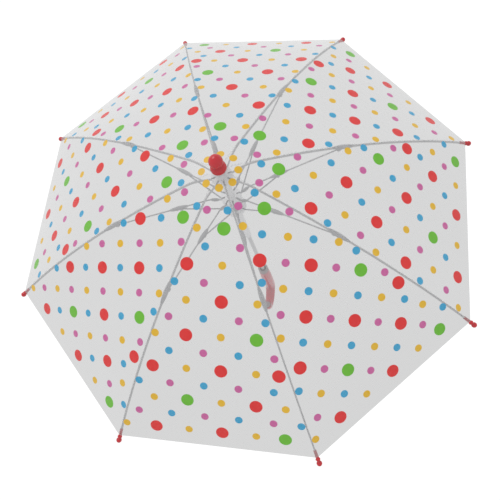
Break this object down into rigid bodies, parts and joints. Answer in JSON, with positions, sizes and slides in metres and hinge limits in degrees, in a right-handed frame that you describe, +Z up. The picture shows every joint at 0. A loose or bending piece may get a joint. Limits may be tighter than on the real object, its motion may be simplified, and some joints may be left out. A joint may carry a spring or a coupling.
{
  "type": "dome umbrella",
  "caption": "Child's clear dome umbrella with a printed film canopy, folding wire ribs, stretchers and struts, a sliding runner and a hooked handle.",
  "frame": {"origin": "middle of the hand grip, on the shaft's axis", "axes": "+Z up along the shaft to the finial; the handle's hook points to +X"},
  "size_m": [0.7462, 0.7462, 0.6681],
  "materials": {
    "shaft_paint": "satin grey paint on steel tube",
    "rib_paint": "satin pale grey paint on steel wire",
    "stretcher_steel": "satin grey paint on steel",
    "wire": "drawn steel wire",
    "grey_plastic": "moulded, matt",
    "pale_plastic": "moulded, satin",
    "dark_plastic": "moulded, matt",
    "red_plastic": "moulded, glossy",
    "film": "clear soft film, slightly frosted, printed with dots"
  },
  "bodies": {
    "shaft_and_handle": {"shaft": "shaft_paint", "handle": "red_plastic", "handle_collar": "dark_plastic", "finial": "red_plastic", "crown_patch": "film", "notch": "pale_plastic", "notch_ring": "wire"},
    "rib_1": {"rib_1": "rib_paint", "rib_joint_1": "grey_plastic", "tip_1": "red_plastic", "canopy_1": "film"},
    "rib_2": {"rib_2": "rib_paint", "rib_joint_2": "grey_plastic", "tip_2": "red_plastic", "canopy_2": "film"},
    "rib_3": {"rib_3": "rib_paint", "rib_joint_3": "grey_plastic", "tip_3": "red_plastic", "canopy_3": "film"},
    "rib_4": {"rib_4": "rib_paint", "rib_joint_4": "grey_plastic", "tip_4": "red_plastic", "canopy_4": "film"},
    "rib_5": {"rib_5": "rib_paint", "rib_joint_5": "grey_plastic", "tip_5": "red_plastic", "canopy_5": "film"},
    "rib_6": {"rib_6": "rib_paint", "rib_joint_6": "grey_plastic", "tip_6": "red_plastic", "canopy_6": "film"},
    "rib_7": {"rib_7": "rib_paint", "rib_joint_7": "grey_plastic", "tip_7": "red_plastic", "canopy_7": "film"},
    "rib_8": {"rib_8": "rib_paint", "rib_joint_8": "grey_plastic", "tip_8": "red_plastic", "canopy_8": "film"},
    "stretcher_1": {"stretcher_1": "stretcher_steel"},
    "stretcher_2": {"stretcher_2": "stretcher_steel"},
    "stretcher_3": {"stretcher_3": "stretcher_steel"},
    "stretcher_4": {"stretcher_4": "stretcher_steel"},
    "stretcher_5": {"stretcher_5": "stretcher_steel"},
    "stretcher_6": {"stretcher_6": "stretcher_steel"},
    "stretcher_7": {"stretcher_7": "stretcher_steel"},
    "stretcher_8": {"stretcher_8": "stretcher_steel"},
    "strut_1": {"strut_1": "wire"},
    "strut_2": {"strut_2": "wire"},
    "strut_3": {"strut_3": "wire"},
    "strut_4": {"strut_4": "wire"},
    "strut_5": {"strut_5": "wire"},
    "strut_6": {"strut_6": "wire"},
    "strut_7": {"strut_7": "wire"},
    "strut_8": {"strut_8": "wire"},
    "runner": {"runner": "pale_plastic", "runner_ring": "wire", "opening_spring": "wire"},
    "slider": {"slider": "pale_plastic"},
    "release_button": {"release_button": "dark_plastic"}
  },
  "joints": [
    {"name": "rib_1_fold", "type": "hinge", "parent": "shaft_and_handle", "child": "rib_1", "pos_m": [-0.01155, -0.00478, 0.516], "axis": [0.3827, -0.9239, 0], "range_deg": [0, 65], "stiffness_Nm_per_rad": 0.4, "springref_deg": -51.57, "deforming": ["canopy_1"]},
    {"name": "rib_2_fold", "type": "hinge", "parent": "shaft_and_handle", "child": "rib_2", "pos_m": [-0.01155, 0.00478, 0.516], "axis": [-0.3827, -0.9239, 0], "range_deg": [0, 65], "stiffness_Nm_per_rad": 0.4, "springref_deg": -51.57, "deforming": ["canopy_2"]},
    {"name": "rib_3_fold", "type": "hinge", "parent": "shaft_and_handle", "child": "rib_3", "pos_m": [-0.00478, 0.01155, 0.516], "axis": [-0.9239, -0.3827, 0], "range_deg": [0, 65], "stiffness_Nm_per_rad": 0.4, "springref_deg": -51.57, "deforming": ["canopy_3"]},
    {"name": "rib_4_fold", "type": "hinge", "parent": "shaft_and_handle", "child": "rib_4", "pos_m": [0.00478, 0.01155, 0.516], "axis": [-0.9239, 0.3827, 0], "range_deg": [0, 65], "stiffness_Nm_per_rad": 0.4, "springref_deg": -51.57, "deforming": ["canopy_4"]},
    {"name": "rib_5_fold", "type": "hinge", "parent": "shaft_and_handle", "child": "rib_5", "pos_m": [0.01155, 0.00478, 0.516], "axis": [-0.3827, 0.9239, 0], "range_deg": [0, 65], "stiffness_Nm_per_rad": 0.4, "springref_deg": -51.57, "deforming": ["canopy_5"]},
    {"name": "rib_6_fold", "type": "hinge", "parent": "shaft_and_handle", "child": "rib_6", "pos_m": [0.01155, -0.00478, 0.516], "axis": [0.3827, 0.9239, 0], "range_deg": [0, 65], "stiffness_Nm_per_rad": 0.4, "springref_deg": -51.57, "deforming": ["canopy_6"]},
    {"name": "rib_7_fold", "type": "hinge", "parent": "shaft_and_handle", "child": "rib_7", "pos_m": [0.00478, -0.01155, 0.516], "axis": [0.9239, 0.3827, 0], "range_deg": [0, 65], "stiffness_Nm_per_rad": 0.4, "springref_deg": -51.57, "deforming": ["canopy_7"]},
    {"name": "rib_8_fold", "type": "hinge", "parent": "shaft_and_handle", "child": "rib_8", "pos_m": [-0.00478, -0.01155, 0.516], "axis": [0.9239, -0.3827, 0], "range_deg": [0, 65], "stiffness_Nm_per_rad": 0.4, "springref_deg": -51.57, "deforming": ["canopy_8"]},
    {"name": "stretcher_1_turn", "type": "hinge", "parent": "rib_1", "child": "stretcher_1", "pos_m": [-0.15891, -0.06582, 0.4814], "axis": [0.3827, -0.9239, 0], "range_deg": [-130, 0]},
    {"name": "stretcher_2_turn", "type": "hinge", "parent": "rib_2", "child": "stretcher_2", "pos_m": [-0.15891, 0.06582, 0.4814], "axis": [-0.3827, -0.9239, 0], "range_deg": [-130, 0]},
    {"name": "stretcher_3_turn", "type": "hinge", "parent": "rib_3", "child": "stretcher_3", "pos_m": [-0.06582, 0.15891, 0.4814], "axis": [-0.9239, -0.3827, 0], "range_deg": [-130, 0]},
    {"name": "stretcher_4_turn", "type": "hinge", "parent": "rib_4", "child": "stretcher_4", "pos_m": [0.06582, 0.15891, 0.4814], "axis": [-0.9239, 0.3827, 0], "range_deg": [-130, 0]},
    {"name": "stretcher_5_turn", "type": "hinge", "parent": "rib_5", "child": "stretcher_5", "pos_m": [0.15891, 0.06582, 0.4814], "axis": [-0.3827, 0.9239, 0], "range_deg": [-130, 0]},
    {"name": "stretcher_6_turn", "type": "hinge", "parent": "rib_6", "child": "stretcher_6", "pos_m": [0.15891, -0.06582, 0.4814], "axis": [0.3827, 0.9239, 0], "range_deg": [-130, 0]},
    {"name": "stretcher_7_turn", "type": "hinge", "parent": "rib_7", "child": "stretcher_7", "pos_m": [0.06582, -0.15891, 0.4814], "axis": [0.9239, 0.3827, 0], "range_deg": [-130, 0]},
    {"name": "stretcher_8_turn", "type": "hinge", "parent": "rib_8", "child": "stretcher_8", "pos_m": [-0.06582, -0.15891, 0.4814], "axis": [0.9239, -0.3827, 0], "range_deg": [-130, 0]},
    {"name": "strut_1_turn", "type": "hinge", "parent": "stretcher_1", "child": "strut_1", "pos_m": [-0.07077, -0.02931, 0.46336], "axis": [0.3827, -0.9239, 0], "range_deg": [0, 21.3]},
    {"name": "strut_2_turn", "type": "hinge", "parent": "stretcher_2", "child": "strut_2", "pos_m": [-0.07077, 0.02931, 0.46336], "axis": [-0.3827, -0.9239, 0], "range_deg": [0, 21.3]},
    {"name": "strut_3_turn", "type": "hinge", "parent": "stretcher_3", "child": "strut_3", "pos_m": [-0.02931, 0.07077, 0.46336], "axis": [-0.9239, -0.3827, 0], "range_deg": [0, 21.3]},
    {"name": "strut_4_turn", "type": "hinge", "parent": "stretcher_4", "child": "strut_4", "pos_m": [0.02931, 0.07077, 0.46336], "axis": [-0.9239, 0.3827, 0], "range_deg": [0, 21.3]},
    {"name": "strut_5_turn", "type": "hinge", "parent": "stretcher_5", "child": "strut_5", "pos_m": [0.07077, 0.02931, 0.46336], "axis": [-0.3827, 0.9239, 0], "range_deg": [0, 21.3]},
    {"name": "strut_6_turn", "type": "hinge", "parent": "stretcher_6", "child": "strut_6", "pos_m": [0.07077, -0.02931, 0.46336], "axis": [0.3827, 0.9239, 0], "range_deg": [0, 21.3]},
    {"name": "strut_7_turn", "type": "hinge", "parent": "stretcher_7", "child": "strut_7", "pos_m": [0.02931, -0.07077, 0.46336], "axis": [0.9239, 0.3827, 0], "range_deg": [0, 21.3]},
    {"name": "strut_8_turn", "type": "hinge", "parent": "stretcher_8", "child": "strut_8", "pos_m": [-0.02931, -0.07077, 0.46336], "axis": [0.9239, -0.3827, 0], "range_deg": [0, 21.3]},
    {"name": "runner_upright", "type": "hinge", "parent": "stretcher_1", "child": "runner", "pos_m": [-0.01155, -0.00478, 0.44681], "axis": [0.3827, -0.9239, 0], "range_deg": [0, 65]},
    {"name": "slider_slide", "type": "slide", "parent": "runner", "child": "slider", "axis": [0, 0, 1], "range_m": [0, 0.01959], "deforming": ["opening_spring"]},
    {"name": "release_button_press", "type": "slide", "parent": "shaft_and_handle", "child": "release_button", "axis": [1, 0, 0], "range_m": [0, 0.002], "stiffness_N_per_m": 800, "springref_m": -0.001}
  ],
  "couplings": [
    {"joint": "rib_2_fold", "follows": "rib_1_fold", "ratio": 1},
    {"joint": "rib_3_fold", "follows": "rib_1_fold", "ratio": 1},
    {"joint": "rib_4_fold", "follows": "rib_1_fold", "ratio": 1},
    {"joint": "rib_5_fold", "follows": "rib_1_fold", "ratio": 1},
    {"joint": "rib_6_fold", "follows": "rib_1_fold", "ratio": 1},
    {"joint": "rib_7_fold", "follows": "rib_1_fold", "ratio": 1},
    {"joint": "rib_8_fold", "follows": "rib_1_fold", "ratio": 1},
    {"joint": "stretcher_1_turn", "follows": "rib_1_fold", "ratio": -2},
    {"joint": "stretcher_2_turn", "follows": "rib_1_fold", "ratio": -2},
    {"joint": "stretcher_3_turn", "follows": "rib_1_fold", "ratio": -2},
    {"joint": "stretcher_4_turn", "follows": "rib_1_fold", "ratio": -2},
    {"joint": "stretcher_5_turn", "follows": "rib_1_fold", "ratio": -2},
    {"joint": "stretcher_6_turn", "follows": "rib_1_fold", "ratio": -2},
    {"joint": "stretcher_7_turn", "follows": "rib_1_fold", "ratio": -2},
    {"joint": "stretcher_8_turn", "follows": "rib_1_fold", "ratio": -2},
    {"joint": "strut_1_turn", "follows": "rib_1_fold", "ratio": 0.32752},
    {"joint": "strut_2_turn", "follows": "rib_1_fold", "ratio": 0.32752},
    {"joint": "strut_3_turn", "follows": "rib_1_fold", "ratio": 0.32752},
    {"joint": "strut_4_turn", "follows": "rib_1_fold", "ratio": 0.32752},
    {"joint": "strut_5_turn", "follows": "rib_1_fold", "ratio": 0.32752},
    {"joint": "strut_6_turn", "follows": "rib_1_fold", "ratio": 0.32752},
    {"joint": "strut_7_turn", "follows": "rib_1_fold", "ratio": 0.32752},
    {"joint": "strut_8_turn", "follows": "rib_1_fold", "ratio": 0.32752},
    {"joint": "runner_upright", "follows": "rib_1_fold", "ratio": 1},
    {"joint": "slider_slide", "follows": "rib_1_fold", "m_per_rad": 0.017263}
  ]
}
